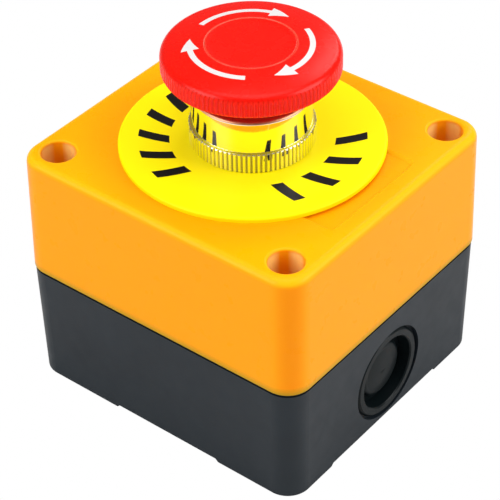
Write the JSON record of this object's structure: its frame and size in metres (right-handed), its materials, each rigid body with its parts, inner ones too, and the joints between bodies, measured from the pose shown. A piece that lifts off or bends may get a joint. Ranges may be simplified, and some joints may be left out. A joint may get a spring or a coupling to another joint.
{
  "type": "emergency stop button",
  "caption": "Surface-mounted control box with a red mushroom stop head on a round yellow plate, pressed to latch and turned to release, over two contact blocks.",
  "frame": {"origin": "middle of the box's back, in the plane of its feet, which is the face against the wall", "axes": "+Z out of the wall along the button's axis; -Y is the side where the plate's short legend reads upright; the cable entries are in the -Y and +Y walls"},
  "size_m": [0.073, 0.078, 0.0878],
  "materials": {
    "base_black": "moulded ABS, fine matt grain",
    "cover_amber": "moulded ABS, satin",
    "plate_yellow": "satin, printed",
    "plug_black": "soft moulded plastic",
    "cap_red": "glossy moulding",
    "chrome": "bright plated, knurled band",
    "seal_rubber": "soft nitrile rubber",
    "zinc_steel": "zinc plated",
    "turned_steel": "turned, lightly oiled",
    "spring_steel": "drawn wire",
    "cast_zinc": "die cast, tumbled",
    "natural_nylon": "moulded nylon",
    "black_nylon": "moulded nylon",
    "block_grey": "moulded, fine matt grain",
    "nc_red": "moulded",
    "no_green": "moulded",
    "terminal_brass": "pressed strip",
    "contact_silver": "silver rivet faces"
  },
  "bodies": {
    "enclosure": {"base_housing": "base_black", "cover_housing": "cover_amber", "cover_gasket": "seal_rubber", "cover_screws": "zinc_steel", "front_entry_plug": "plug_black", "rear_entry_plug": "plug_black", "nameplate": "plate_yellow", "bezel": "chrome", "bezel_seal": "seal_rubber", "lock_nut": "zinc_steel", "wiper_seal": "seal_rubber", "guide_sleeve": "natural_nylon", "guide_clip": "spring_steel", "return_spring": "spring_steel", "mounting_collar": "cast_zinc", "clamp_screws": "zinc_steel", "nc_block_housing": "block_grey", "nc_block_cover": "block_grey", "nc_terminals": "terminal_brass", "nc_terminal_screws": "zinc_steel", "nc_clamp_washers": "zinc_steel", "nc_fixed_tips": "contact_silver", "nc_spring": "spring_steel", "no_block_housing": "block_grey", "no_block_cover": "block_grey", "no_terminals": "terminal_brass", "no_terminal_screws": "zinc_steel", "no_clamp_washers": "zinc_steel", "no_fixed_tips": "contact_silver", "no_return_spring": "spring_steel"},
    "pusher": {"pusher": "black_nylon"},
    "head": {"stem": "turned_steel", "latch_pin": "turned_steel", "mushroom_cap": "cap_red", "cap_insert": "cap_red", "cap_screw": "zinc_steel", "pusher_screw": "zinc_steel"},
    "nc_plunger": {"nc_plunger": "nc_red", "nc_bridge": "terminal_brass", "nc_bridge_tips": "contact_silver"},
    "no_plunger": {"no_plunger": "no_green", "no_contact_spring": "spring_steel"},
    "no_bridge": {"no_bridge": "terminal_brass", "no_bridge_tips": "contact_silver"}
  },
  "joints": [
    {"name": "press", "type": "slide", "parent": "enclosure", "child": "pusher", "axis": [0, 0, -1], "range_m": [0, 0.005], "stiffness_N_per_m": 2000, "springref_m": -0.003, "deforming": ["return_spring"]},
    {"name": "twist", "type": "hinge", "parent": "pusher", "child": "head", "pos_m": [0, 0, 0.0625], "axis": [0, 0, 1], "range_deg": [-40, 0], "stiffness_Nm_per_rad": 0.03, "springref_deg": 11.46},
    {"name": "nc_push", "type": "slide", "parent": "enclosure", "child": "nc_plunger", "axis": [0, 0, -1], "range_m": [0, 0.005], "deforming": ["nc_spring"]},
    {"name": "no_push", "type": "slide", "parent": "enclosure", "child": "no_plunger", "axis": [0, 0, -1], "range_m": [0, 0.005], "deforming": ["no_return_spring"]},
    {"name": "no_float", "type": "slide", "parent": "no_plunger", "child": "no_bridge", "axis": [0, 0, 1], "range_m": [0, 0.002], "deforming": ["no_contact_spring"]}
  ],
  "couplings": [
    {"joint": "nc_push", "follows": "press", "ratio": 1},
    {"joint": "no_push", "follows": "press", "ratio": 1},
    {"joint": "no_float", "follows": "press", "ratio": 0.4}
  ]
}
